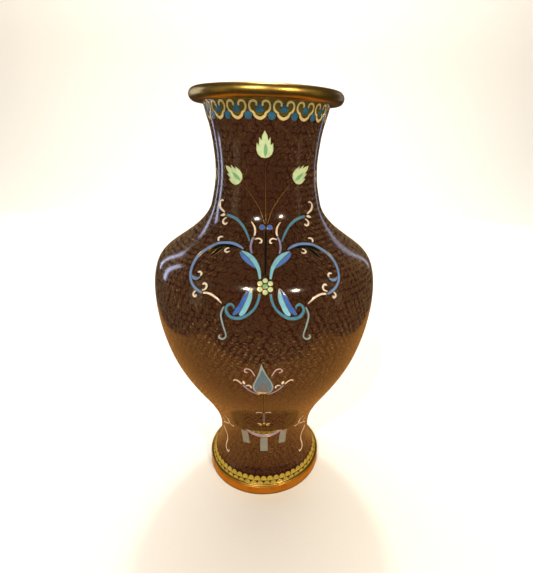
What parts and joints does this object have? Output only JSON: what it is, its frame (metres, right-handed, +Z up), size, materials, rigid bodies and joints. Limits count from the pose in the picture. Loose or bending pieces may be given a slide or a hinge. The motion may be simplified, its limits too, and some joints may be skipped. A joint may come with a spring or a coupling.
{
  "type": "cloisonne vase",
  "caption": "Baluster vase of soldered copper sections, enamelled inside and out with wire-bounded floral ornament, with a gilt mouth ring and a gilt foot ring.",
  "frame": {"origin": "centre of the foot ring's underside, on the surface the vase stands on", "axes": "+Z up along the vase's turning axis, -Y towards the front ornament"},
  "size_m": [0.1626, 0.1626, 0.3],
  "materials": {
    "copper": "satin raised copper",
    "solder": "silver solder, filed flush",
    "gilt": "polished gilding",
    "lining_turquoise": "plain fired enamel",
    "ground_brown": "dark red-brown enamel with gilt spiral wires, polished",
    "collar_olive": "olive enamel, polished",
    "cream": "cream enamel, polished",
    "sand_yellow": "yellow-cream enamel, polished",
    "olive_yellow": "olive-yellow enamel, polished",
    "deep_teal": "deep teal enamel, polished",
    "teal": "teal enamel, polished",
    "turquoise": "light turquoise enamel, polished",
    "royal_blue": "royal blue enamel, polished",
    "steel_blue": "steel blue enamel, polished",
    "lavender": "lavender blue enamel, polished",
    "pink_grey": "pink-grey enamel, polished",
    "near_black": "near-black enamel, polished",
    "pale_green": "pale green enamel, polished",
    "leaf_green": "leaf green enamel, polished",
    "grey_green": "grey-green enamel, polished",
    "slate": "slate grey enamel, polished"
  },
  "bodies": {
    "root": {"neck_shell": "copper", "shoulder_shell": "copper", "belly_shell": "copper", "foot_shell": "copper", "base_plate": "copper", "neck_solder": "solder", "belly_solder": "solder", "waist_solder": "solder", "mouth_ring": "gilt", "foot_ring": "gilt", "foot_bead": "gilt", "lining_enamel": "lining_turquoise", "base_lining": "lining_turquoise", "base_enamel": "lining_turquoise", "ground_enamel": "ground_brown", "collar_enamel": "collar_olive", "cloud_frames": "sand_yellow", "cloud_cores": "deep_teal", "collar_beads": "deep_teal", "upper_lappets": "olive_yellow", "lower_lappets": "olive_yellow", "flower_petals": "pale_green", "flower_heart": "leaf_green", "flower_wires": "gilt", "bud_petals": "pale_green", "bud_hearts": "leaf_green", "bud_wires": "gilt", "bow_lobes": "royal_blue", "dark_stems": "near_black", "stem_wires": "gilt", "upper_leaves": "turquoise", "lavender_leaves": "lavender", "blue_arches": "steel_blue", "dark_leaves": "near_black", "lower_scrolls": "teal", "royal_leaves": "royal_blue", "turquoise_leaves": "turquoise", "leaf_wires": "gilt", "teal_scrolls": "teal", "violet_stems": "lavender", "grey_tails": "grey_green", "cream_scrolls": "cream", "teardrop_rim": "grey_green", "teardrop_body": "teal", "teardrop_core": "slate", "teardrop_scrolls": "pink_grey", "pendant_flower": "olive_yellow", "pendant_crescent": "lavender", "pendant_lens": "leaf_green", "pendant_tassels": "grey_green", "foot_scrolls": "cream", "neck_scrolls": "cream"}
  },
  "joints": []
}
